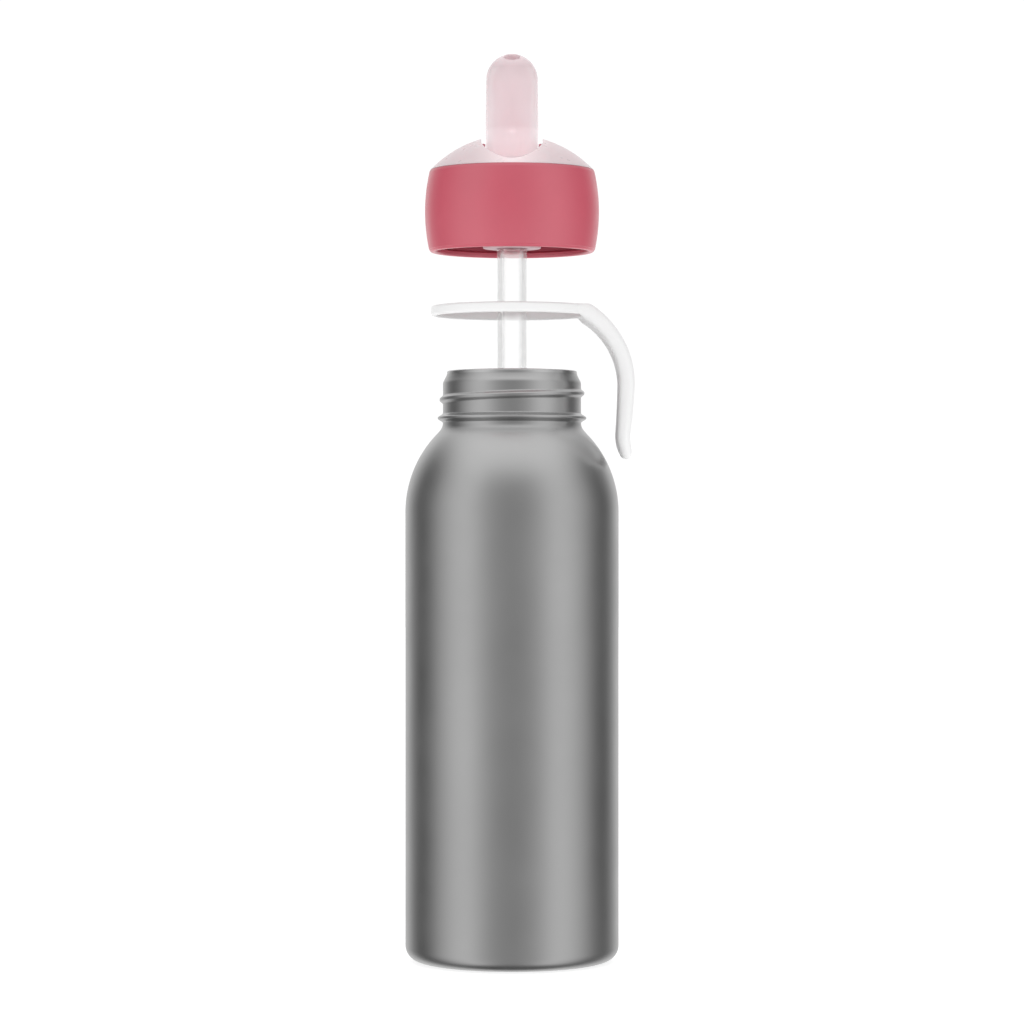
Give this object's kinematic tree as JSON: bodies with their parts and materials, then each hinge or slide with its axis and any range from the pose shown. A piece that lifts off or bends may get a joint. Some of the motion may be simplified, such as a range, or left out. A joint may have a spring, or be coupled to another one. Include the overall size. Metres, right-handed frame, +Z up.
{
  "type": "insulated straw bottle",
  "caption": "Slim vacuum bottle with a screw cap, flip-up straw spout, straw and a carry ring with a hanging loop, laid out as it comes apart.",
  "frame": {"origin": "centre of the flat base, on the surface the bottle stands on", "axes": "+Z up along the bottle's axis; -Y is the drinker's side, which the spout leans and folds towards; +X is the side the carry loop hangs on"},
  "size_m": [0.0705, 0.0652, 0.277],
  "materials": {
    "satin_steel": "satin, fine vertical sheen",
    "liner_steel": "electropolished inside",
    "getter_metal": "sintered",
    "glass_solder": "fused bead",
    "white_silicone": "soft matte",
    "clear_silicone": "soft translucent",
    "blush_plastic": "satin",
    "rose_plastic": "fine satin texture",
    "deep_rose_plastic": "satin",
    "blush_shell": "frosted translucent",
    "blush_spout": "translucent",
    "clear_straw": "clear"
  },
  "bodies": {
    "bottle": {"outer_shell": "satin_steel", "inner_liner": "liner_steel", "base_cup": "liner_steel", "getter": "getter_metal", "vacuum_seal": "glass_solder", "base_disc": "satin_steel"},
    "carrier": {"carry_ring": "white_silicone"},
    "gasket": {"neck_gasket": "clear_silicone"},
    "adapter": {"straw_adapter": "blush_plastic", "adapter_o_ring": "clear_silicone"},
    "cap": {"cap_collar": "rose_plastic", "cap_core": "deep_rose_plastic", "dome_cover": "blush_shell", "hinge_pins": "deep_rose_plastic", "spout_seal": "clear_silicone", "vent_valve": "clear_silicone"},
    "spout": {"spout": "blush_spout", "spout_insert": "clear_silicone"},
    "straw": {"straw": "clear_straw"}
  },
  "joints": [
    {"name": "ring_lift", "type": "slide", "parent": "bottle", "child": "carrier", "axis": [0, 0, 1], "range_m": [-0.03575, 0]},
    {"name": "cap_lift", "type": "slide", "parent": "carrier", "child": "gasket", "axis": [0, 0, 1], "range_m": [-0.01225, 0.12]},
    {"name": "cap_rise", "type": "slide", "parent": "gasket", "child": "adapter", "axis": [0, 0, 1], "range_m": [-0.004, 0]},
    {"name": "cap_turn", "type": "hinge", "parent": "adapter", "child": "cap", "pos_m": [0, 0, 0.23], "axis": [0, 0, 1], "range_deg": [-360, 0]},
    {"name": "spout_flip", "type": "hinge", "parent": "cap", "child": "spout", "pos_m": [0, 0.0123, 0.2446], "axis": [1, 0, 0], "range_deg": [0, 63.7]},
    {"name": "straw_pull", "type": "slide", "parent": "adapter", "child": "straw", "axis": [0, 0, 1], "range_m": [-0.007, 0]}
  ],
  "couplings": [
    {"joint": "cap_rise", "follows": "cap_turn", "m_per_rad": 0.00063662}
  ]
}
